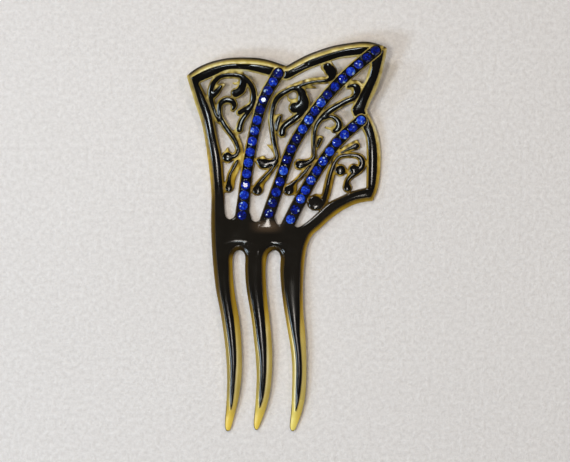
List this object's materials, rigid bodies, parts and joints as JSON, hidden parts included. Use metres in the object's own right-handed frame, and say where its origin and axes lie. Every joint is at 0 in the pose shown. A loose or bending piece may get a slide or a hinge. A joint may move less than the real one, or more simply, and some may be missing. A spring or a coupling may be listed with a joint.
{
  "type": "hair fork",
  "caption": "Fan-crowned hair fork with wavy prongs, cut from amber and black laminated sheet, pierced with scrollwork and set with rows of round blue stones.",
  "frame": {"origin": "middle of the fork's outline, on the surface that it lies on", "axes": "+Y from the prong tips to the crown, +X to the right with the stones facing the viewer, +Z out of the stones' side"},
  "size_m": [0.0748, 0.1456, 0.0131],
  "materials": {
    "amber_sheet": "polished, translucent",
    "black_sheet": "high polish",
    "blue_stones": "faceted, foil-backed"
  },
  "bodies": {
    "root": {"amber_base": "amber_sheet", "black_frame": "black_sheet", "black_peak_left": "black_sheet", "black_peak_right": "black_sheet", "scroll_outer_left": "black_sheet", "scroll_inner_left": "black_sheet", "scroll_inner_right": "black_sheet", "scroll_outer_right": "black_sheet", "stones_left": "blue_stones", "stones_middle": "blue_stones", "stones_right": "blue_stones"}
  },
  "joints": []
}
